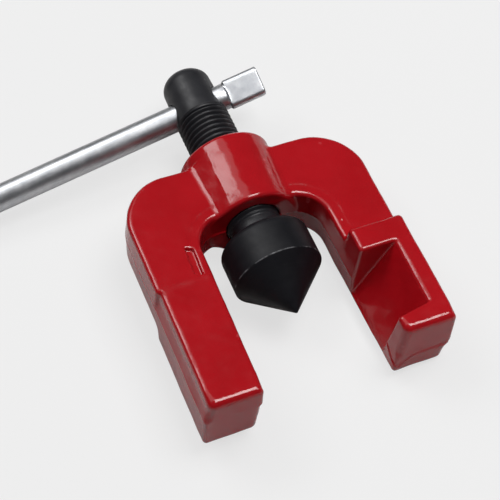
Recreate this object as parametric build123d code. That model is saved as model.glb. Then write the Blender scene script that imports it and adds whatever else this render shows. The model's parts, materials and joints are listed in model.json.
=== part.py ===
from build123d import *
import math
import os

os.makedirs("parts", exist_ok=True)

# ---------------------------------------------------------------------------
# Slip-on yoke of a tube flaring tool.
#
# Design frame (used while modelling): Y is the feed screw's axis and points
# from the leg ends towards the T-bar, X runs across the two legs, Z is the
# casting's thickness with the mould's parting plane at Z = 0.  The casting is
# symmetric under half a turn about the screw's axis: the right leg carries its
# clamping pocket on the front, the left leg carries the same on the back.
#
# Part frame (written to the files): the tool lying on a bench, +Z up, +Y
# along the screw, origin under the middle of the tool's box.
# All lengths are millimetres.
# ---------------------------------------------------------------------------

# yoke casting
half_width = 31.75          # outer side of a leg at the parting plane
throat_half_foot = 17.05    # inner side of a leg at its end, parting plane
throat_half_top = 16.35     # inner side of a leg at the top of the throat
arch_y = 48.1               # top of the throat, parting plane
arch_radius = 7.6           # corners of the throat's arch
crown_y = 64.35             # top edge of the arms, parting plane
crown_radius = 13.4         # outer shoulders of the yoke
draft = 2.5                 # mould draft of every side wall, degrees
foot = 4.0                  # the legs are made this much long, then cut square
arm_half_thickness = 7.2    # arms: faces at Z = +-7.2
leg_flat = 7.0              # the thin side of each leg, just under the arm
leg_step_y = 32.3           # where the leg steps up to the arm's face
block_thickness = 12.1      # thick side of each leg, holding the pocket
block_top_y = 31.7          # top of the thick block

# clamping pocket in the thick side of each leg
lip_y = 4.75                # the lip under the pocket, at the mould line of its throat side
lip_slope = 1.5             # the seat's rise over the pocket's depth
pocket_top_y = 24.5
seat_x = 17.0                # where the lip and the roof are measured
seat_tilt = 0.17             # both rise towards the leg's outer side
roof_tilt = 0.0
pocket_roof_slope = 0.65     # the roof's fall over the pocket's depth
pocket_wall_x = 26.7        # outer wall of the pocket at the face
pocket_floor_x = 16.6       # the slanted floor runs out here at the back

# small relief slot in each arm's face
slot_y0, slot_y1 = 34.4, 42.3
slot_x0, slot_x1 = 18.7, 20.8
slot_depth = 0.9

# boss and screw bore
boss_top_y = 68.0
boss_bottom_y = 47.9
boss_radius_top = 12.2
boss_radius_bottom = 11.35
boss_web = 1.6              # concave rounding between boss and arms
bore_play = 0.05            # radial running clearance

# feed screw, M14 x 1.5
thread_major = 14.0
thread_pitch = 1.5
thread_depth = 0.92
thread_core = thread_major - 2 * thread_depth
screw_thread_bottom = 47.0
screw_thread_top = 82.0
head_radius = 6.8              # where the head starts, above the thread
head_radius_top = 6.4       # where its rounded top starts
head_bottom_y = 82.2
head_top_y = 97.2
head_dome = 4.6             # height of the rounded top
head_dome_in = 4.0          # how far it comes in
bar_axis_y = 86.35
bar_angle = 15.3            # the bar's turn about the screw's axis, degrees
bar_d = 7.0
bar_hole_d = 7.3
neck_r = 6.2                # plain neck under the thread
neck_bottom_y = 42.5        # its shoulder stands just clear of the cone
spigot_r = 4.0              # the nose that the cone swivels on
spigot_bottom_y = 37.02
groove_y0, groove_y1 = 38.9, 40.1   # the snap ring's groove, in nose and cone
groove_r = 3.2

# flaring cone
cone_r = 11.5
cone_edge_y = 31.35
cone_tip_y = cone_edge_y - cone_r     # 45 degrees a side
cone_top_y = 42.0
cone_shoulder = 2.0         # rounding of its upper edge
cone_bore_r = 4.05
cone_bore_bottom_y = 34.6
ring_groove_r = 4.9
ball_r = 2.0                # thrust ball under the screw's nose
ball_y = 35.0
ball_pocket_r = 2.05
ring_section = 1.0          # the snap ring's wire, square
ring_inner_r = 3.3

# T-bar
bar_right = 18.3            # from the screw's axis to the flattened tip's end
bar_left = 98.0
tip_len = 10.2              # flattened length at each end
tip_blend = 1.2             # the flats run out over this length
tip_width = 7.8             # wider than the hole, so the bar can't fall out
tip_thickness = 5.2
tip_turn = 30.0             # the flats face this far below the bar's front


def about_screw(shape, degrees):
    return shape.rotate(Axis((0, 0, 0), (0, 1, 0)), degrees)


def half_turn(shape):
    """The casting's symmetry: half a turn about the screw's axis."""
    return about_screw(shape, 180)


def turned(profile):
    """A solid of revolution about the screw's axis from (radius, y) points."""
    pts = [(r, y) for r, y in profile]
    face = make_face(Polyline(*pts, close=True))
    return revolve(face, Axis.Y, 360)


def prism(points, z0, z1):
    """A straight prism: a polygon in X and Y between two heights."""
    face = make_face(Polyline(*[(x, y, z0) for x, y in points], close=True))
    return extrude(face, amount=z1 - z0, dir=(0, 0, 1))


# ------------------------------------------------------------------ the yoke
def outline(extra=0.0):
    """Arms and legs at the parting plane."""
    W, T0, T1 = half_width, throat_half_foot, throat_half_top
    outer = make_face(Polyline((-W, -foot), (W, -foot), (W, crown_y), (-W, crown_y), close=True))
    tops = [v for v in outer.vertices() if v.Y > 1]
    outer = fillet(tops, crown_radius)
    throat = make_face(Polyline((-T0 - 0.2, -10), (T0 + 0.2, -10), (T1, arch_y), (-T1, arch_y), close=True))
    throat = fillet([v for v in throat.vertices() if v.Y > 1], arch_radius)
    return outer - throat


def drafted(face, height):
    up = extrude(face, amount=height, taper=draft)
    return up


plate = drafted(outline().face(), arm_half_thickness)
plate = plate + half_turn(plate)

# thick block on the front of the right leg
block_face = make_face(Polyline((throat_half_foot, -foot), (half_width, -foot), (half_width, block_top_y + 0.5),
                                (throat_half_top + 0.23, block_top_y + 0.5), close=True))
block = drafted(block_face, block_thickness)
block = block + half_turn(block)

# the boss: a frustum about the screw's axis
boss = turned([(0, boss_bottom_y), (boss_radius_bottom - 0.8, boss_bottom_y),
               (boss_radius_bottom, boss_bottom_y + 0.8), (boss_radius_top, boss_top_y - 1.6),
               (boss_radius_top - 0.5, boss_top_y - 0.5),
               (boss_radius_top - 1.6, boss_top_y), (0, boss_top_y)])

yoke = plate + block + boss
# concave webs where the boss runs out of the arms' faces
roots = [e for e in yoke.edges()
         if e.geom_type != GeomType.LINE and abs(abs(e.center().Z) - arm_half_thickness) < 0.4
         and abs(e.center().X) < boss_radius_top and 50 < e.center().Y < 66]
yoke = fillet(roots, boss_web)

# the thin side of each leg sits a little under the arm's face
thin = prism([(-40, -5), (-10, -5), (-10, leg_step_y), (-40, leg_step_y)], leg_flat, 20)
yoke = yoke - thin - half_turn(thin)

# the leg ends are flat, square to the screw
yoke = yoke - prism([(-50, -30), (50, -30), (50, 0), (-50, 0)], -30, 30)

# pocket, open to the front and to the throat
b = block_thickness
a = -arm_half_thickness
slope = (pocket_wall_x - pocket_floor_x) / (b - a)
front, back = b + 3.0, a - 3.0


def floor_x(z):
    return pocket_floor_x + (z - a) * slope


# the plan of the pocket, carried along Y, then cut by the seat and by the roof
plan = make_face(Polyline((10, 0, back), (floor_x(back), 0, back), (floor_x(front), 0, front), (10, 0, front), close=True))
pocket = extrude(plan, amount=40, dir=(0, 1, 0))
seat_rise = lip_slope / (b - a)         # the seat rises towards the back, for the core's draft
roof_fall = pocket_roof_slope / (b - a)
pocket = pocket.split(Plane(origin=(seat_x, lip_y, b), z_dir=(-seat_tilt, 1, seat_rise)), keep=Keep.TOP)
pocket = pocket.split(Plane(origin=(seat_x, pocket_top_y, b), z_dir=(-roof_tilt, 1, -roof_fall)), keep=Keep.BOTTOM)
# the pocket's core stops at the slanted floor, which runs out at the back
yoke = yoke - pocket - half_turn(pocket)

# relief slot
slot = prism([(-slot_x1 - 0.15, slot_y0), (-slot_x0, slot_y0 + 0.6), (-slot_x0, slot_y1), (-slot_x1 + 0.2, slot_y1 - 0.4)],
             arm_half_thickness - slot_depth, 20)
yoke = yoke - slot - half_turn(slot)

# bore
bore_r = thread_major / 2 + bore_play
yoke = yoke - Cylinder(bore_r, 60, rotation=(90, 0, 0)).moved(Location((0, 60, 0)))

# ---------------------------------------------------------------- feed screw
profile = [(0, spigot_bottom_y), (spigot_r - 0.4, spigot_bottom_y), (spigot_r, spigot_bottom_y + 0.4)]
profile += [(spigot_r, groove_y0), (groove_r, groove_y0), (groove_r, groove_y1), (spigot_r, groove_y1)]
profile += [(spigot_r, neck_bottom_y), (neck_r - 0.3, neck_bottom_y), (neck_r, neck_bottom_y + 0.3)]
profile += [(neck_r, screw_thread_bottom - 0.7)]
# the thread's form at its true pitch and depth, one ring to each pitch
pitches = int((screw_thread_top - screw_thread_bottom) / thread_pitch)
for i in range(pitches):
    y0 = screw_thread_bottom + i * thread_pitch
    profile += [(thread_core / 2, y0 - 0.1), (thread_major / 2, y0 + 0.56), (thread_major / 2, y0 + 0.74),
                (thread_core / 2, y0 + 1.3)]
profile += [(thread_core / 2, head_bottom_y - 0.5), (head_radius, head_bottom_y + 0.3)]
profile += [(head_radius_top, head_top_y - head_dome)]
for k in range(1, 11):
    t = math.pi / 2 * k / 10
    profile += [(head_radius_top - head_dome_in * (1 - math.cos(t)), head_top_y - head_dome + head_dome * math.sin(t))]
profile += [(0, head_top_y)]
screw = turned(profile)
hole = Cylinder(bar_hole_d / 2, 40, rotation=(0, 90, 0)).moved(Location((0, bar_axis_y, 0)))
screw = screw - about_screw(hole, -bar_angle)

# --------------------------------------------------------------- flaring cone
profile = [(0, cone_tip_y), (cone_r, cone_edge_y), (cone_r, cone_top_y - cone_shoulder)]
for k in range(1, 7):
    t = math.pi / 2 * k / 6
    profile += [(cone_r - cone_shoulder * (1 - math.cos(t)), cone_top_y - cone_shoulder * (1 - math.sin(t)))]
profile += [(cone_bore_r, cone_top_y), (cone_bore_r, groove_y1), (ring_groove_r, groove_y1),
            (ring_groove_r, groove_y0), (cone_bore_r, groove_y0), (cone_bore_r, cone_bore_bottom_y),
            (ball_pocket_r, cone_bore_bottom_y), (ball_pocket_r, ball_y - ball_r - 0.03), (0, ball_y - ball_r - 0.03)]
cone = turned(profile)

# ------------------------------------------------------- snap ring and ball
mid = (groove_y0 + groove_y1) / 2
h = ring_section / 2
ring = turned([(ring_inner_r, mid - h), (ring_inner_r + 1.5, mid - h), (ring_inner_r + 1.5, mid + h),
               (ring_inner_r, mid + h)])
ring = ring - prism([(2, mid - 2), (8, mid - 2), (8, mid + 2), (2, mid + 2)], -0.8, 0.8)
ball = Sphere(ball_r).moved(Location((0, ball_y, 0)))

# --------------------------------------------------------------------- T-bar
# made along X, then turned and lifted into the screw's cross hole
bar = Cylinder(bar_d / 2, bar_left + bar_right - 2 * (tip_len - tip_blend), rotation=(0, 90, 0)).moved(
    Location(((bar_right - bar_left) / 2, 0, 0)))


def tip_section(x, width, thick, corner):
    return Plane(origin=(x, 0, 0), x_dir=(0, 1, 0), z_dir=(1, 0, 0)) * RectangleRounded(width, thick, corner)


def tip(x_in, x_out):
    step = tip_blend if x_out > x_in else -tip_blend
    end = 0.5 if x_out > x_in else -0.5
    full = loft([tip_section(x_in + step, tip_width, tip_thickness, 1.1),
                 tip_section(x_out - end, tip_width, tip_thickness, 1.1)])
    nose = loft([tip_section(x_out - end, tip_width, tip_thickness, 1.1),
                 tip_section(x_out, tip_width - 1.0, tip_thickness - 1.0, 0.7)])
    blend = loft([tip_section(x_in, bar_d - 0.02, bar_d - 0.02, bar_d / 2 - 0.02),
                  tip_section(x_in + step, tip_width, tip_thickness, 1.1)])
    return [full, nose, blend]


for piece in tip(bar_right - tip_len, bar_right) + tip(-bar_left + tip_len, -bar_left):
    bar = bar + piece
bar = bar.rotate(Axis.X, tip_turn)
bar = about_screw(bar, -bar_angle).moved(Location((0, bar_axis_y, 0)))

pieces = {"yoke": yoke, "feed_screw": screw, "flaring_cone": cone, "retaining_ring": ring,
          "thrust_ball": ball, "t_bar": bar}

# ------------------------------------------------- laid down on its bench
# The tool rests on the outer edge of its right leg and on the T-bar's far end,
# which fixes how far it leans about the screw's axis.


def lowest(shape, lean):
    return about_screw(shape, lean).bounding_box().min.Z


lo, hi = 0.0, bar_angle
for _ in range(16):
    lean = (lo + hi) / 2
    if lowest(bar, lean) < lowest(yoke, lean):
        lo = lean           # the bar is too low: lean further
    else:
        hi = lean
pieces = {name: about_screw(shape, lean) for name, shape in pieces.items()}
boxes = [shape.bounding_box() for shape in pieces.values()]
low = [min(getattr(b.min, k) for b in boxes) for k in "XYZ"]
high = [max(getattr(b.max, k) for b in boxes) for k in "XYZ"]
shift = Vector(-(low[0] + high[0]) / 2, -(low[1] + high[1]) / 2, -low[2])
print("lean", lean, "shift", shift, "size", [high[i] - low[i] for i in range(3)])

for name, shape in pieces.items():
    shape = shape.moved(Location(shift))
    solids = shape.solids()
    print(name, "solids", len(solids), "valid", shape.is_valid, "volume", round(shape.volume, 2))
    export_step(solids[0] if len(solids) == 1 else shape, f"parts/{name}.step")
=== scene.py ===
import json
import math

import bpy
import numpy as np
from mathutils import Matrix, Vector


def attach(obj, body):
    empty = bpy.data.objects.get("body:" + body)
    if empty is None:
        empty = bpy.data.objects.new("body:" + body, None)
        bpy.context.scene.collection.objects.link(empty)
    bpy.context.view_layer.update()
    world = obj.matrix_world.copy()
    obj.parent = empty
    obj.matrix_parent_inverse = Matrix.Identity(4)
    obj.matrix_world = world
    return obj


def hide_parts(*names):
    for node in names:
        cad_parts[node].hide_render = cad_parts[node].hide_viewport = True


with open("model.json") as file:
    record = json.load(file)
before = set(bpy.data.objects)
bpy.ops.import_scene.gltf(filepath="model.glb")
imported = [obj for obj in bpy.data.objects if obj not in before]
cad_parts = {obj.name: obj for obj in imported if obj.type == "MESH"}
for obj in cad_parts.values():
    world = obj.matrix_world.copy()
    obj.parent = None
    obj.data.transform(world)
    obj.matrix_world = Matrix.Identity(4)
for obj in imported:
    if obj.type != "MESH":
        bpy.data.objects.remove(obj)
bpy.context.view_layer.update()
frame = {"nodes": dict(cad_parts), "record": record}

MM = 0.001

# ---------------------------------------------------------------- the frame
# Design frame, mm: Y along the screw's axis from the leg ends, X across the
# legs, Z through the casting.  The record says how it lies in the row frame.
joints = {j["name"]: j for j in frame["record"]["behaviour"]["joints"]}
mounts = {m["name"]: m for m in frame["record"]["mounts"]}
BAR_ANGLE = math.radians(15.3)
bar_axis = joints["t_bar_slide"]["axis"]
LEAN = BAR_ANGLE - math.atan2(bar_axis[2], bar_axis[0])
CONE_TIP_Y = 19.85
ax = joints["screw_turn"]["pos_m"]
SHIFT = np.array([ax[0], mounts["flare_cone"]["pos_m"][1] - CONE_TIP_Y * MM, ax[2]])
_c, _s = math.cos(LEAN), math.sin(LEAN)
TURN = np.array([[_c, 0, _s], [0, 1, 0], [-_s, 0, _c]])


def place(points_mm):
    """Design frame, mm, to the row frame, m."""
    return np.asarray(points_mm, float) @ TURN.T * MM + SHIFT


def mesh_object(name, verts_mm, faces, smooth=True):
    me = bpy.data.meshes.new(name)
    v = place(verts_mm)
    me.from_pydata(v.tolist(), [], [tuple(int(i) for i in f) for f in faces])
    me.validate()
    me.update()
    if smooth:
        me.polygons.foreach_set("use_smooth", [True] * len(me.polygons))
    ob = bpy.data.objects.new(name, me)
    bpy.context.scene.collection.objects.link(ob)
    return ob


# ------------------------------------------------------------ distance field
def smax(a, b, r):
    """Largest of two fields, the corner rounded to radius r."""
    return np.minimum(-r, np.maximum(a, b)) + np.hypot(np.maximum(a + r, 0), np.maximum(b + r, 0))


def smin(a, b, r):
    return -smax(-a, -b, r)


def step(x, lo, hi):
    t = np.clip((x - lo) / (hi - lo), 0, 1)
    return t * t * (3 - 2 * t)


def surface_nets(field, lo, hi, h):
    """Closed quad mesh of field = 0, vertices drawn onto the surface."""
    n = [int(math.ceil((hi[k] - lo[k]) / h)) + 1 for k in range(3)]
    ax_ = [lo[k] + h * np.arange(n[k]) for k in range(3)]
    f = np.empty(n, np.float32)
    for i in range(0, n[0], 24):
        X, Y, Z = np.meshgrid(ax_[0][i:i + 24], ax_[1], ax_[2], indexing="ij")
        f[i:i + 24] = field(X, Y, Z)
    f[f == 0] = 1e-6
    neg = f < 0
    cells = [slice(0, -1), slice(1, None)]
    count = sum(neg[cells[a], cells[b], cells[c]].astype(np.int8) for a in (0, 1) for b in (0, 1) for c in (0, 1))
    mixed = (count > 0) & (count < 8)
    index = np.full(mixed.shape, -1, np.int64)
    ids = np.argwhere(mixed)
    index[mixed] = np.arange(len(ids))
    acc = np.zeros((len(ids), 3))
    num = np.zeros(len(ids))
    I, J, K = ids.T
    corners = [(a, b, c) for a in (0, 1) for b in (0, 1) for c in (0, 1)]
    for axis in range(3):
        for c0 in corners:
            if c0[axis]:
                continue
            c1 = list(c0)
            c1[axis] = 1
            fa = f[I + c0[0], J + c0[1], K + c0[2]].astype(float)
            fb = f[I + c1[0], J + c1[1], K + c1[2]].astype(float)
            cross = (fa < 0) != (fb < 0)
            t = np.where(cross, fa / np.where(cross, fa - fb, 1), 0)
            p = np.array(c0, float)[None, :].repeat(len(ids), 0)
            p[:, axis] += t
            acc[cross] += p[cross]
            num[cross] += 1
    verts = (ids + acc / num[:, None]) * h + np.array(lo)
    faces = []
    for axis in range(3):
        o = [slice(None)] * 3
        a = [slice(None)] * 3
        a[axis] = slice(0, -1)
        o[axis] = slice(1, None)
        change = neg[tuple(a)] != neg[tuple(o)]
        e = np.argwhere(change)
        u, v = [k for k in range(3) if k != axis]
        ok = (e[:, u] > 0) & (e[:, v] > 0) & (e[:, u] < n[u] - 1) & (e[:, v] < n[v] - 1)
        e = e[ok]
        first = neg[e[:, 0], e[:, 1], e[:, 2]]
        quad = []
        for du, dv in ((-1, -1), (0, -1), (0, 0), (-1, 0)):
            q = e.copy()
            q[:, u] += du
            q[:, v] += dv
            quad.append(index[q[:, 0], q[:, 1], q[:, 2]])
        quad = np.stack(quad, 1)
        flip = first if axis != 1 else ~first
        quad[~flip] = quad[~flip][:, ::-1]
        faces.append(quad)
    faces = np.concatenate(faces)
    for _ in range(4):
        verts = onto(field, verts, h)
    return verts, faces


def gradient(field, v, e=0.02):
    g = np.empty_like(v)
    for k in range(3):
        d = np.zeros(3)
        d[k] = e
        a, b = v + d, v - d
        g[:, k] = (field(a[:, 0], a[:, 1], a[:, 2]) - field(b[:, 0], b[:, 1], b[:, 2])) / (2 * e)
    return g


def onto(field, v, h):
    g = gradient(field, v)
    f = field(v[:, 0], v[:, 1], v[:, 2])
    step_ = -f[:, None] * g / np.maximum((g * g).sum(1), 0.05)[:, None]
    length = np.linalg.norm(step_, axis=1)
    step_ *= np.minimum(1, 0.5 * h / np.maximum(length, 1e-9))[:, None]
    return v + step_


# ------------------------------------------------------------------ the yoke
W, T0, T1, ARCH, RA = 31.75, 17.05, 16.35, 48.1, 7.6
CROWN, RC = 64.35, 13.4
ARM, LEG, BLOCK = 7.2, 7.04, 12.1
DRAFT = math.tan(math.radians(2.5))


def wave(x, y, z):
    """The slight unevenness of a cast and enamelled face."""
    return (0.030 * np.sin(0.31 * x + 1.3 * np.sin(0.17 * y + 0.4) + 0.5)
            + 0.026 * np.sin(0.37 * y + 1.1 * np.sin(0.21 * x) + 0.3 * z + 1.7)
            + 0.016 * np.sin(0.71 * x - 0.53 * y + 0.4 * z + 0.9) + 0.010 * np.sin(1.3 * y + 0.9 * x + 1.1 * z))


def pocket_field(x, y, z):
    """Negative inside the right leg's pocket."""
    floor_ = (x - (16.6 + (z + 7.2) * (26.7 - 16.6) / (BLOCK + 7.2))) * 0.886
    low = (4.75 + (12.1 - z) * 0.0777 + (x - 17.0) * 0.17) - y
    high = y - (24.5 - (12.1 - z) * 0.034)
    p = smax(floor_, low, 0.55)
    p = smax(p, high, 0.45)
    return np.maximum(p, -z - 5.7)                     # it runs out in the wall, clear of the far face's edge


def face_field(x, y, z, rim):
    """How far a point lies outside the casting's front, which carries the right leg's thick block."""
    leg = (ARM - LEG) * step(-y, -34.0, -31.4) * (x < 0)
    plain = z - (ARM - leg - rim)
    block = smax(smax(y - 31.7 + 0.045 * (z - 7.0), z - BLOCK, 1.5), 6.0 - x, 0.1)
    return np.where(x > 4, smin(plain, block, 0.9), plain)


def boss_field(x, y, z):
    rho = np.hypot(x, z)
    r = 11.35 + (y - 47.9) * (0.9 / 20.1)
    round_ = rho - r
    # its flank on each arm's proud side runs down straight, 36 degrees off the face
    flank = 0.588 * -x + 0.809 * z - r - 0.05
    web = np.maximum(np.maximum(flank, x + 6.0), y - 64.6)
    web = smax(web, 1.0 - z, 0.1)
    back = smax(np.maximum(np.maximum(0.588 * x - 0.809 * z - r - 0.05, 6.0 - x), y - 64.6), 1.0 + z, 0.1)
    b = np.minimum(round_, smin(web, back, 0.1))
    b = smax(b, y - 68.0, 1.3)
    return smax(b, 47.9 - y, 0.9)


def yoke_field(x, y, z):
    ax_ = np.abs(x)
    near_end = 1 - step(y, 0.5, 7.0)
    part = -3.9 * np.exp(-((x - 18.2) / 2.3) ** 2) * near_end       # the parting line dips at the lip
    dz = np.abs(z - part)
    front = np.where(x < 0, z, -z)                                   # towards each leg's thin side
    # outer outline, the lower thin side a little further in
    inset = 0.8 * (1 - step(y, 31.9, 33.3)) * step(front, -1.5, 4.0)
    qx, qy = ax_ - (W - RC), y - (CROWN - RC)
    outer = np.hypot(np.maximum(qx, 0), np.maximum(qy, 0)) + np.minimum(np.maximum(qx, qy), 0) - RC
    outer = outer + dz * DRAFT + inset
    t = T0 + (T1 - T0) * np.clip(y, -5, 60) / ARCH
    qx, qy = ax_ - (t - RA), y - (ARCH - RA)
    throat = np.hypot(np.maximum(qx, 0), np.maximum(qy, 0)) + np.minimum(np.maximum(qx, qy), 0) - RA
    slip = 0.27 * step(z - part, -0.12, 0.12) * (1 - step(y, 6.0, 9.0)) * step(x, 10, 12)   # mould halves out of line
    inner = -throat + dz * DRAFT + slip
    rim = 0.14 * (1 - step(throat, 2.6, 3.9)) * step(y, 33.2, 35.4)
    walls = smax(outer, inner, 1.0)
    across = (ax_ - 24.4) * np.sign(x)
    plan = 0.9 + 0.95 * step(-across * np.tanh(z / 2.5), -2.0, 3.0)  # the corner the mould fills last is rounder
    walls = smax(walls, -y + 0.02 * dz + slip, plan)
    edge = 1.05 + 0.75 * (1 - step(y, 1.0, 5.0))
    body = smax(walls, face_field(x, y, z, rim), edge)
    body = smax(body, face_field(-x, y, -z, rim), edge)
    web = 0.38 + 0.9 * step(x * np.sign(z), -3, 3)
    body = smin(body, boss_field(x, y, z), web)
    # pockets
    for sg in (1, -1):
        xs, zs = x * sg, z * sg
        body = smax(body, -np.maximum(pocket_field(xs, y, zs), 9.0 - xs), 0.75)
    # relief slots
    for sg in (1, -1):
        xs, zs = x * sg, z * sg
        cx = -19.95 + 0.045 * (y - 38.0)
        sl = smax(np.abs(xs - cx) - 0.95, np.abs(y - 38.0 + 0.45 * (xs + 19.9)) - 3.9, 0.35)
        sl = np.maximum(sl, ARM - 0.95 - zs)
        body = smax(body, -sl, 0.34)
    # flash left along the parting line, on the side walls only
    side = step(-np.maximum(face_field(x, y, z, 0 * x), face_field(-x, y, -z, 0 * x)), 1.6, 2.6)
    side = side * step(np.maximum(outer, inner), -0.8, -0.2) * step(y, 2.0, 6.0)
    body = body - 0.09 * side * np.exp(-((z - part) / 0.34) ** 2)
    # bore, its mouths eased
    body = smax(body, 7.06 - np.hypot(x, z), 0.55)
    return body + wave(x, y, z)


verts, faces = surface_nets(yoke_field, (-34, -2, -14), (34, 72, 14), 0.385)
yoke = mesh_object("yoke_casting", verts, faces)


# ---------------------------------------------------------------- lathed work
def lathe(profile, segments):
    """Closed solid from a profile of (radius, y); radius 0 points close it."""
    ang = 2 * np.pi * np.arange(segments) / segments
    v, rings = [], []
    for r, y in profile:
        if r == 0:
            rings.append([len(v)])
            v.append((0, y, 0))
        else:
            rings.append(list(range(len(v), len(v) + segments)))
            v.extend((r * math.sin(t), y, r * math.cos(t)) for t in ang)
    f = []
    for a, b in zip(rings[:-1], rings[1:]):
        for k in range(segments):
            n = (k + 1) % segments
            if len(a) == 1:
                f.append((a[0], b[n], b[k]))
            elif len(b) == 1:
                f.append((a[k], a[n], b[0]))
            else:
                f.append((a[k], a[n], b[n], b[k]))
    return np.array(v, float), f


def rounded(points, radii, n=5):
    """Polyline of (r, y) with its corners rounded."""
    out = []
    for k, (p, rad) in enumerate(zip(points, radii)):
        p = np.array(p, float)
        if rad == 0 or k in (0, len(points) - 1):
            out.append(tuple(p))
            continue
        a, b = np.array(points[k - 1], float) - p, np.array(points[k + 1], float) - p
        la, lb = np.linalg.norm(a), np.linalg.norm(b)
        a, b = a / la, b / lb
        half = math.acos(max(-1, min(1, float(a @ b)))) / 2
        cut = min(rad / math.tan(half), 0.48 * la, 0.48 * lb)
        rr = cut * math.tan(half)
        c = p + (a + b) / np.linalg.norm(a + b) * rr / math.sin(half)
        s0, s1 = p + a * cut - c, p + b * cut - c
        w = math.acos(max(-1, min(1, float(s0 @ s1) / rr / rr)))
        for i in range(n + 1):
            q = c + (math.sin((1 - i / n) * w) * s0 + math.sin(i / n * w) * s1) / math.sin(w)
            out.append(tuple(q))
    return out


def refine(profile, longest):
    """More rings along the long straight runs, each run cut into equal pieces."""
    out = [profile[0]]
    for a, b in zip(profile[:-1], profile[1:]):
        n = max(1, int(math.ceil(math.dist(a, b) / longest)))
        out += [(a[0] + (b[0] - a[0]) * k / n, a[1] + (b[1] - a[1]) * k / n) for k in range(1, n + 1)]
    return out


# ------------------------------------------------------------ the feed screw
PITCH, CREST, ROOT, NECK = 1.5, 7.0, 6.08, 6.2
Y_LO, Y_HI = 42.6, 82.7
COLS, ROWS = 144, 14


def thread_form(u):
    """Radius over one pitch, the corners worn round."""
    u = (np.asarray(u) + 0.5) % 1.0 - 0.5
    total = 0
    for d, w in ((-0.045, 1), (-0.0225, 2), (0, 3), (0.0225, 2), (0.045, 1)):
        a = np.abs(u + d)
        total = total + w * np.clip((0.385 - a) / (0.385 - 0.075), 0, 1)
    return ROOT + (CREST - ROOT) * total / 9.0


offsets = np.array([0.0, 0.05, 0.09, 0.13, 0.20, 0.29, 0.36, 0.42, 0.5, 0.58, 0.64, 0.71, 0.82, 0.92])
turns = int((Y_HI - Y_LO) / PITCH) + 3
base = np.concatenate([Y_LO - 1.4 * PITCH + PITCH * (k + offsets) for k in range(turns + 1)])
vid, vv = {}, []


def thread_vertex(c, i):
    phi = 2 * math.pi * c / COLS
    y = min(max(base[i] + PITCH * c / COLS, Y_LO), Y_HI)
    key = (c, round(y, 5))
    if key not in vid:
        u = (y - (Y_LO - 1.4 * PITCH)) / PITCH - c / COLS
        r = float(thread_form(u))
        lead = NECK + (y - 46.25) * 0.95                  # chamfer where the thread starts
        r = min(r, max(lead, NECK)) if y > 46.25 else NECK
        if y < Y_LO + 0.3:
            r -= 0.3 * (1 - math.sqrt(max(0, 1 - ((Y_LO + 0.3 - y) / 0.3) ** 2)))
        vid[key] = len(vv)
        vv.append((r * math.sin(phi), y, r * math.cos(phi)))
    return vid[key]


tf = []
for c in range(COLS):
    n, shift_rows = (c + 1, 0) if c + 1 < COLS else (0, ROWS)
    for i in range(len(base) - 1 - ROWS):
        q = [thread_vertex(c, i), thread_vertex(n, i + shift_rows),
             thread_vertex(n, i + 1 + shift_rows), thread_vertex(c, i + 1)]
        q = [a for k, a in enumerate(q) if a != q[k - 1]]
        if len(q) >= 3:
            tf.append(tuple(q))
lo_ring = [vid[(c, round(Y_LO, 5))] for c in range(COLS)]
hi_ring = [vid[(c, round(Y_HI, 5))] for c in range(COLS)]


def ring_of(r, y):
    start = len(vv)
    for c in range(COLS):
        t = 2 * math.pi * c / COLS
        vv.append((r * math.sin(t), y, r * math.cos(t)))
    return list(range(start, start + COLS))


def band(a, b):
    for c in range(COLS):
        n = (c + 1) % COLS
        tf.append((a[c], a[n], b[n], b[c]))


prev = lo_ring
for r, y in ((5.0, 42.5), (4.0, 42.5), (4.0, 41.4), (4.0, 40.1), (3.2, 40.1), (3.2, 38.9), (4.0, 38.9), (4.0, 37.42), (3.6, 37.02)):
    cur = ring_of(r, y)
    band(cur, prev)
    prev = cur
vv.append((0, 37.02, 0))
for c in range(COLS):
    tf.append((len(vv) - 1, prev[(c + 1) % COLS], prev[c]))
vv.append((0, Y_HI, 0))
for c in range(COLS):
    tf.append((hi_ring[c], hi_ring[(c + 1) % COLS], len(vv) - 1))

DU = np.array([math.cos(BAR_ANGLE), 0, math.sin(BAR_ANGLE)])        # along the bar
DV = np.array([-math.sin(BAR_ANGLE), 0, math.cos(BAR_ANGLE)])


def head_field(x, y, z):
    rho = np.hypot(x, z)
    side = rho - (6.8 - (y - 82.2) * 0.4 / 15.0)
    h = smax(side, y - 97.2, 3.8)
    h = smax(h, 81.75 - y, 0.5)
    v = x * DV[0] + z * DV[2]
    hole = 3.65 - np.hypot(v, y - 86.35)
    h = smax(h, hole, 0.55)
    return h + 0.012 * np.sin(1.1 * y + 2 * np.sin(0.6 * x)) + 0.010 * np.sin(1.4 * x - 0.9 * z + 0.5)


hv, hf = surface_nets(head_field, (-8, 80.5, -8), (8, 98.5, 8), 0.2)
off = len(vv)
screw_v = np.concatenate([np.array(vv), hv])
screw_f = tf + [tuple(int(i) + off for i in q) for q in hf]
screw = mesh_object("feed_screw_steel", screw_v, screw_f)

# ------------------------------------------------------------------ the cone
pts = [(0, 19.85), (11.5, 31.35), (11.5, 42.0), (4.05, 42.0), (4.05, 40.1), (4.9, 40.1), (4.9, 38.9), (4.05, 38.9),
       (4.05, 34.6), (2.05, 34.6), (2.05, 32.97), (0, 32.97)]
outer = rounded([(-0.6, 20.45)] + pts[1:], [0, 0.22, 2.0, 0.25, 0.05, 0.05, 0.05, 0.05, 0.1, 0.1, 0.1, 0], 6)
tip = [(0.0, 20.05), (0.12, 20.07), (0.24, 20.14), (0.34, 20.23), (0.46, 20.33)]
cone_profile = tip + [p for p in outer if p[0] > 0.6 or p[1] > 32.9]
cone_v, cone_f = lathe(refine(cone_profile, 0.55), 192)
cone = mesh_object("flaring_cone_turned", cone_v, cone_f)

# ----------------------------------------------------------------- the T-bar
SEG = 144


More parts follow.
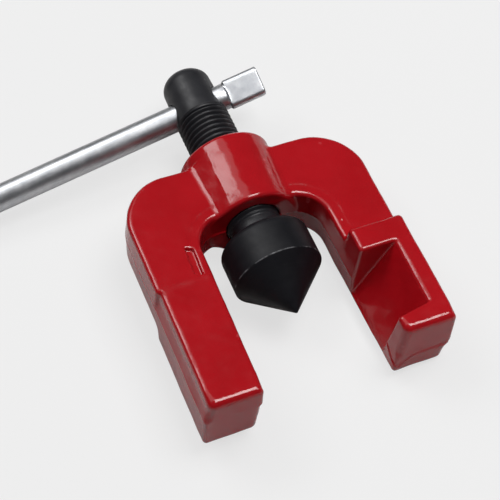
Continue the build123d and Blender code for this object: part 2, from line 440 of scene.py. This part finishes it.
def facet(theta, width, thick, cut, ease):
    """Distance along theta to a rectangle whose four corners are cut at 45 degrees."""
    dy, dz = abs(math.cos(theta)), abs(math.sin(theta))
    lo_, hi_ = 0.0, 20.0
    for _ in range(40):
        m = (lo_ + hi_) / 2
        flat = smax(np.array(m * dy - width / 2), np.array(m * dz - thick / 2), ease)
        d = smax(flat, np.array((m * dy + m * dz - (width + thick) / 2 + cut) * 0.7071), ease)
        lo_, hi_ = (m, hi_) if d < 0 else (lo_, m)
    return lo_


TIP_TURN = math.radians(30.0)
angles = [2 * math.pi * k / SEG for k in range(SEG)]
ROUND = np.full(SEG, 3.5)
FLAT = np.array([facet(t, 7.8, 5.2, 0.75, 0.3) for t in angles])
NOSE = np.array([facet(t, 7.55, 4.95, 0.70, 0.3) for t in angles])
NOSE2 = np.array([facet(t, 7.2, 4.6, 0.65, 0.3) for t in angles])
stations = []
X0, X1, TIP = -98.0, 18.3, 10.2
for k in range(2):
    end, d = ((X0, 1), (X1, -1))[k]
    part = [(end, NOSE2 * 0.5), (end, NOSE2 * 0.97), (end + d * 0.03, NOSE2), (end + d * 0.10, 0.5 * (NOSE2 + NOSE)),
            (end + d * 0.20, 0.35 * NOSE + 0.65 * FLAT), (end + d * 0.32, FLAT * 0.998), (end + d * 0.6, FLAT)]
    for j in range(1, 12):
        part.append((end + d * (0.6 + j * (TIP - 1.6) / 11.0), FLAT))
    for j in range(1, 9):
        w = j / 8
        w = w * w * (3 - 2 * w)
        part.append((end + d * (TIP - 0.9 + j * 0.68 / 8), FLAT * (1 - w) + ROUND * w))
    stations.append(part)
mid_x = np.linspace(X0 + TIP + 1.4, X1 - TIP - 1.4, 90)
line = stations[0] + [(x, ROUND) for x in mid_x] + stations[1][::-1]
bv, bf = [], []
for x, radius in line:
    for t, r in zip(angles, radius):
        cy, cz = r * math.cos(t), r * math.sin(t)
        bv.append((x, cy * math.cos(TIP_TURN) - cz * math.sin(TIP_TURN), cy * math.sin(TIP_TURN) + cz * math.cos(TIP_TURN)))
n_st = len(line)
for i in range(n_st - 1):
    for k in range(SEG):
        n = (k + 1) % SEG
        bf.append((i * SEG + k, i * SEG + n, (i + 1) * SEG + n, (i + 1) * SEG + k))
bv += [(X0, 0, 0), (X1, 0, 0)]
for k in range(SEG):
    n = (k + 1) % SEG
    bf.append((n_st * SEG, n, k))
    bf.append((n_st * SEG + 1, (n_st - 1) * SEG + k, (n_st - 1) * SEG + n))
bv = np.array(bv)
bar_v = bv[:, :1] * DU + bv[:, 1:2] * np.array([0, 1, 0]) + bv[:, 2:3] * DV + np.array([0, 86.35, 0])
bar = mesh_object("t_bar_plated", bar_v, bf)


def outward(ob):
    """Turn the faces outwards if the mesh's signed volume is negative."""
    me = ob.data
    me.calc_loop_triangles()
    co = np.empty(len(me.vertices) * 3)
    me.vertices.foreach_get("co", co)
    co = co.reshape(-1, 3)
    tri = np.empty(len(me.loop_triangles) * 3, np.int64)
    me.loop_triangles.foreach_get("vertices", tri)
    a, b, c = (co[tri.reshape(-1, 3)[:, k]] for k in range(3))
    volume = (a * np.cross(b, c)).sum() / 6
    if volume < 0:
        me.flip_normals()
    print(ob.name, "volume cm3 %.3f" % (abs(volume) * 1e6), "flipped", volume < 0, "tris", len(me.loop_triangles))


for ob in (yoke, screw, cone, bar):
    outward(ob)


# ----------------------------------------------------------------- materials
class Graph:
    def __init__(self, name):
        self.mat = bpy.data.materials.new(name)
        self.mat.use_nodes = True
        self.t = self.mat.node_tree
        self.bsdf = self.t.nodes["Principled BSDF"]
        self.coord = self.t.nodes.new("ShaderNodeTexCoord").outputs["Object"]

    def node(self, kind, **props):
        n = self.t.nodes.new(kind)
        for k, v in props.items():
            setattr(n, k, v)
        return n

    def link(self, a, b):
        self.t.links.new(a, b)

    def mapped(self, scale, turn=(0, 0, 0), source=None):
        m = self.node("ShaderNodeMapping")
        m.inputs["Scale"].default_value = scale
        m.inputs["Rotation"].default_value = turn
        self.link(source or self.coord, m.inputs["Vector"])
        return m.outputs[0]

    def noise(self, scale, detail=2.0, rough=0.5, vector=None, distortion=0.0):
        n = self.node("ShaderNodeTexNoise")
        n.inputs["Scale"].default_value = scale
        n.inputs["Detail"].default_value = detail
        n.inputs["Roughness"].default_value = rough
        n.inputs["Distortion"].default_value = distortion
        self.link(vector or self.coord, n.inputs["Vector"])
        return n.outputs["Fac"]

    def voronoi(self, scale, vector=None, feature="F1"):
        n = self.node("ShaderNodeTexVoronoi", feature=feature)
        n.inputs["Scale"].default_value = scale
        self.link(vector or self.coord, n.inputs["Vector"])
        return n

    def ramp(self, fac, stops):
        r = self.node("ShaderNodeValToRGB")
        el = r.color_ramp.elements
        while len(el) < len(stops):
            el.new(0.5)
        for e, (p, col) in zip(el, stops):
            e.position = p
            e.color = (*col, 1) if hasattr(col, "__len__") else (col, col, col, 1)
        self.link(fac, r.inputs[0])
        return r.outputs[0]

    def span(self, fac, a, b, c, d):
        m = self.node("ShaderNodeMapRange")
        for k, v in zip((1, 2, 3, 4), (a, b, c, d)):
            m.inputs[k].default_value = v
        self.link(fac, m.inputs[0])
        return m.outputs[0]

    def math(self, op, a, b=None):
        m = self.node("ShaderNodeMath", operation=op)
        for k, v in enumerate((a, b)):
            if v is None:
                continue
            if isinstance(v, (int, float)):
                m.inputs[k].default_value = v
            else:
                self.link(v, m.inputs[k])
        return m.outputs[0]

    def mix(self, fac, a, b, blend="MIX"):
        m = self.node("ShaderNodeMix", data_type="RGBA", blend_type=blend)
        for sock, v in ((m.inputs[0], fac), (m.inputs[6], a), (m.inputs[7], b)):
            if isinstance(v, (int, float)):
                sock.default_value = v
            elif isinstance(v, tuple):
                sock.default_value = (*v, 1)
            else:
                self.link(v, sock)
        return m.outputs[2]

    def bump(self, height, strength, distance, normal=None):
        b = self.node("ShaderNodeBump")
        b.inputs["Strength"].default_value = strength
        b.inputs["Distance"].default_value = distance
        self.link(height, b.inputs["Height"])
        if normal is not None:
            self.link(normal, b.inputs["Normal"])
        return b.outputs[0]

    def give(self, ob):
        ob.data.materials.clear()
        ob.data.materials.append(self.mat)


def red_enamel():
    g = Graph("red_enamel_mat")
    p = g.bsdf.inputs
    geo = g.node("ShaderNodeNewGeometry")
    patch = g.noise(90, 3, 0.55)
    fine = g.noise(1500, 2, 0.5)
    col = g.mix(g.span(patch, 0.35, 0.68, 0.0, 1.0), (0.305, 0.0034, 0.0066), (0.338, 0.0046, 0.0086))
    # enamel thins on edges, and the lighter pink there is also a painted highlight along each edge
    edge = g.span(geo.outputs["Pointiness"], 0.53, 0.62, 0.0, 1.0)
    edge = g.math("MULTIPLY", edge, g.span(g.noise(420, 3, 0.6), 0.3, 0.65, 0.25, 1.0))
    col = g.mix(g.math("MULTIPLY", edge, 0.45), col, (0.50, 0.07, 0.08))
    # painted shade: concave corners are darkened where shade falls
    painted_corner_shade = g.span(geo.outputs["Pointiness"], 0.47, 0.40, 0.0, 1.0)
    col = g.mix(g.math("MULTIPLY", painted_corner_shade, 0.45), col, (0.16, 0.002, 0.005))
    # pale pin-prick specks scattered through the enamel, each with a small bump
    cells = g.voronoi(230)
    dot = g.span(cells.outputs["Distance"], 0.055, 0.035, 0.0, 1.0)
    rare = g.span(g.math("FRACT", g.math("MULTIPLY", g.voronoi(230).outputs["Color"], 7.31)), 0.88, 0.9, 0.0, 1.0)
    speck = g.math("MULTIPLY", dot, rare)
    col = g.mix(g.math("MULTIPLY", speck, 0.7), col, (0.75, 0.35, 0.34))
    g.link(col, p["Base Color"])
    rough = g.span(g.noise(260, 4, 0.6), 0.3, 0.7, 0.10, 0.19)
    rough = g.math("ADD", rough, g.math("MULTIPLY", edge, 0.12))
    g.link(rough, p["Roughness"])
    p["IOR"].default_value = 1.5
    height = g.math("ADD", g.math("MULTIPLY", g.noise(360, 2, 0.4), 0.7), g.math("MULTIPLY", fine, 0.12))
    n = g.bump(height, 0.55, 0.00016)
    n = g.bump(speck, 0.5, 0.00006, n)
    g.link(n, p["Normal"])
    return g


def black_steel():
    g = Graph("black_steel_mat")
    p = g.bsdf.inputs
    geo = g.node("ShaderNodeNewGeometry")
    patch = g.noise(170, 4, 0.6)
    col = g.mix(g.span(patch, 0.3, 0.7, 0, 1), (0.009, 0.009, 0.011), (0.018, 0.018, 0.021))
    # painted highlight: lighter grey along convex edges and thread crests, broken up by noise
    edge = g.span(geo.outputs["Pointiness"], 0.55, 0.66, 0.0, 1.0)
    edge = g.math("MULTIPLY", edge, g.span(g.noise(500, 4, 0.65), 0.35, 0.7, 0.0, 1.0))
    col = g.mix(g.math("MULTIPLY", edge, 0.5), col, (0.12, 0.12, 0.125))
    g.link(col, p["Base Color"])
    p["Specular IOR Level"].default_value = 0.36
    p["IOR"].default_value = 1.5
    g.link(g.span(g.noise(600, 4, 0.6), 0.3, 0.7, 0.34, 0.50), p["Roughness"])
    lines = g.noise(1.0, 3, 0.6, vector=g.mapped((500, 6000, 500)))
    h = g.math("ADD", g.math("MULTIPLY", lines, 0.5), g.math("MULTIPLY", g.noise(1400, 3, 0.6), 0.6))
    g.link(g.bump(h, 0.35, 0.00006), p["Normal"])
    return g


def black_cone():
    g = Graph("black_cone_mat")
    p = g.bsdf.inputs
    patch = g.noise(120, 4, 0.6)
    col = g.mix(g.span(patch, 0.3, 0.7, 0, 1), (0.0035, 0.0035, 0.0050), (0.0080, 0.0080, 0.0100))
    lines = g.noise(1.0, 4, 0.65, vector=g.mapped((60, 5200, 60)))
    col = g.mix(g.span(lines, 0.55, 0.8, 0.0, 0.10), col, (0.05, 0.05, 0.055))
    # the corner between cylinder and cone is rubbed bright, and a highlight line is painted along it
    sep = g.node("ShaderNodeSeparateXYZ")
    g.link(g.coord, sep.inputs[0])
    y_edge = 31.40 * MM + float(SHIFT[1])
    away = g.math("ABSOLUTE", g.math("SUBTRACT", sep.outputs[1], y_edge))
    rubbed_ring_with_highlight = g.span(away, 0.00020, 0.00007, 0.0, 1.0)
    rubbed_ring_with_highlight = g.math("MULTIPLY", rubbed_ring_with_highlight, g.span(g.noise(210, 5, 0.7), 0.45, 0.64, 0.0, 0.85))
    col = g.mix(rubbed_ring_with_highlight, col, (0.22, 0.22, 0.23))
    # fine scratches and dust
    dust = g.span(g.noise(2600, 3, 0.7), 0.66, 0.74, 0.0, 1.0)
    col = g.mix(g.math("MULTIPLY", dust, 0.25), col, (0.07, 0.07, 0.08))
    g.link(col, p["Base Color"])
    p["Specular IOR Level"].default_value = 0.20
    p["IOR"].default_value = 1.5
    g.link(g.span(g.noise(500, 4, 0.6), 0.3, 0.75, 0.40, 0.52), p["Roughness"])
    h = g.math("ADD", g.math("MULTIPLY", lines, 0.35), g.math("MULTIPLY", g.noise(1500, 4, 0.65), 0.6))
    g.link(g.bump(h, 0.30, 0.00005), p["Normal"])
    return g


def plated_bar():
    g = Graph("plated_bar_mat")
    p = g.bsdf.inputs
    # coordinates with the bar along X
    tilt = BAR_ANGLE - LEAN
    along = g.mapped((1, 1, 1), (0, tilt, 0))
    drawn = g.noise(1.0, 4, 0.6, vector=g.mapped((70, 2600, 2600), source=along))
    mottle = g.noise(420, 4, 0.6)
    col = g.mix(g.span(mottle, 0.3, 0.7, 0, 1), (0.45, 0.465, 0.495), (0.58, 0.59, 0.605))
    stain = g.span(g.noise(60, 4, 0.6, distortion=0.5), 0.50, 0.72, 0.0, 1.0)
    col = g.mix(g.math("MULTIPLY", stain, 0.22), col, (0.50, 0.49, 0.48))
    g.link(col, p["Base Color"])
    p["Metallic"].default_value = 1.0
    r = g.span(g.math("ADD", g.math("MULTIPLY", drawn, 0.5), g.math("MULTIPLY", mottle, 0.5)), 0.35, 0.65, 0.33, 0.43)
    g.link(g.math("ADD", r, g.math("MULTIPLY", stain, 0.06)), p["Roughness"])
    h = g.math("ADD", g.math("MULTIPLY", drawn, 0.7), g.math("MULTIPLY", g.noise(1100, 3, 0.6), 0.3))
    g.link(g.bump(h, 0.20, 0.00004), p["Normal"])
    return g


def plain_steel(name, colour, lo_r, hi_r):
    g = Graph(name)
    p = g.bsdf.inputs
    g.link(g.mix(g.span(g.noise(800, 3, 0.6), 0.3, 0.7, 0, 1), tuple(c * 0.75 for c in colour), colour), p["Base Color"])
    p["Metallic"].default_value = 1.0
    g.link(g.span(g.noise(1200, 3, 0.6), 0.3, 0.7, lo_r, hi_r), p["Roughness"])
    g.link(g.bump(g.noise(2500, 3, 0.6), 0.2, 0.00003), p["Normal"])
    return g


for make, ob in ((red_enamel, yoke), (black_steel, screw), (black_cone, cone), (plated_bar, bar)):
    make().give(ob)
ring, ball = frame["nodes"]["retaining_ring"], frame["nodes"]["thrust_ball"]
plain_steel("spring_steel_mat", (0.34, 0.34, 0.35), 0.28, 0.42).give(ring)
plain_steel("bearing_steel_mat", (0.78, 0.79, 0.80), 0.07, 0.14).give(ball)

for ob, body, node, slot_ in ((yoke, "yoke", "yoke", "red_enamel"), (screw, "screw", "feed_screw", "black_steel"),
                              (cone, "cone", "flaring_cone", "black_cone"), (bar, "bar", "t_bar", "plated_bar")):
    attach(ob, body)
    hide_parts(node)

# --------------------------------------------------------------------- stage
def stage_mesh(name, verts_, faces_, colour, glow, camera_only):
    me = bpy.data.meshes.new(name)
    me.from_pydata(verts_, [], faces_)
    ob = bpy.data.objects.new(name, me)
    bpy.context.scene.collection.objects.link(ob)
    mat = bpy.data.materials.new(name + "_mat")
    mat.use_nodes = True
    b = mat.node_tree.nodes["Principled BSDF"].inputs
    b["Base Color"].default_value = (*colour, 1)
    b["Roughness"].default_value = 1.0
    b["Specular IOR Level"].default_value = 0.0
    b["Emission Color"].default_value = (1.0, 1.0, 1.0, 1)
    b["Emission Strength"].default_value = glow
    me.materials.append(mat)
    if camera_only:
        ob.visible_diffuse = ob.visible_glossy = ob.visible_transmission = ob.visible_shadow = False
    else:
        ob.visible_camera = False
    return ob


S = 2.6
square = [(-S, -S, 0), (S, -S, 0), (S, S, 0), (-S, S, 0)]
floor = stage_mesh("floor", [(x, y, -0.0001) for x, y, z in square], [(0, 1, 2, 3)], (0.14, 0.14, 0.14), 0.692, True)
bounce = stage_mesh("floor_bounce", [(x, y, -0.0004) for x, y, z in square], [(0, 1, 2, 3)], (0.54, 0.53, 0.525), 0.0, False)
# a pale paper drum behind everything
N = 48
drum_v = [(S * math.cos(2 * math.pi * k / N), S * math.sin(2 * math.pi * k / N), z) for z in (-0.2, 3.0) for k in range(N)]
drum_f = [(k, (k + 1) % N, N + (k + 1) % N, N + k) for k in range(N)] + [tuple(range(N, 2 * N))]
drum = stage_mesh("backdrop", drum_v, drum_f, (0.0, 0.0, 0.0), 0.855, True)

scene = bpy.context.scene
world = bpy.data.worlds.new("studio")
world.use_nodes = True
world.node_tree.nodes["Background"].inputs[0].default_value = (0.95, 0.97, 1.0, 1)
world.node_tree.nodes["Background"].inputs[1].default_value = 0.075
scene.world = world


def softbox(name, height, x0, x1, y0, y1, radiance):
    """A level panel above the object, facing down; extents are in heights."""
    d = bpy.data.lights.new(name, "AREA")
    d.shape = "RECTANGLE"
    d.size, d.size_y = (x1 - x0) * height, (y1 - y0) * height
    d.energy = radiance * math.pi * d.size * d.size_y
    o = bpy.data.objects.new(name, d)
    o.location = ((x0 + x1) / 2 * height, (y0 + y1) / 2 * height, height)
    scene.collection.objects.link(o)
    return o


softbox("key_panel", 1.20, -0.74, 0.00, 0.45, 0.98, 5.0)
softbox("key_spill", 1.25, -0.72, 0.30, 0.02, 1.25, 1.1)
softbox("top_panel", 1.15, 0.18, 0.72, -0.38, 0.18, 11.0)

# -------------------------------------------------------------------- camera
cam_data = bpy.data.cameras.new("photo_camera")
cam_data.sensor_width = 36.0
cam_data.lens = 102.2939
cam_data.clip_start, cam_data.clip_end = 0.01, 20.0
cam = bpy.data.objects.new("photo_camera", cam_data)
axes = np.array([(0.92164044, -0.3806169, 0.07556234), (0.28019023, 0.78745536, 0.54900591),
                 (-0.2684629, -0.48481422, 0.83239584)]) @ TURN.T
m = Matrix.Identity(4)
for k in range(3):
    for i in range(3):
        m[i][k] = axes[k][i]
    m[k][3] = 0
spot = place([(-97.88211492, -129.33597504, 291.75463684)])[0]
for i in range(3):
    m[i][3] = spot[i]
cam.matrix_world = m
scene.collection.objects.link(cam)
scene.camera = cam
scene.view_settings.view_transform = "Standard"
scene.view_settings.look = "None"

bpy.context.view_layer.update()
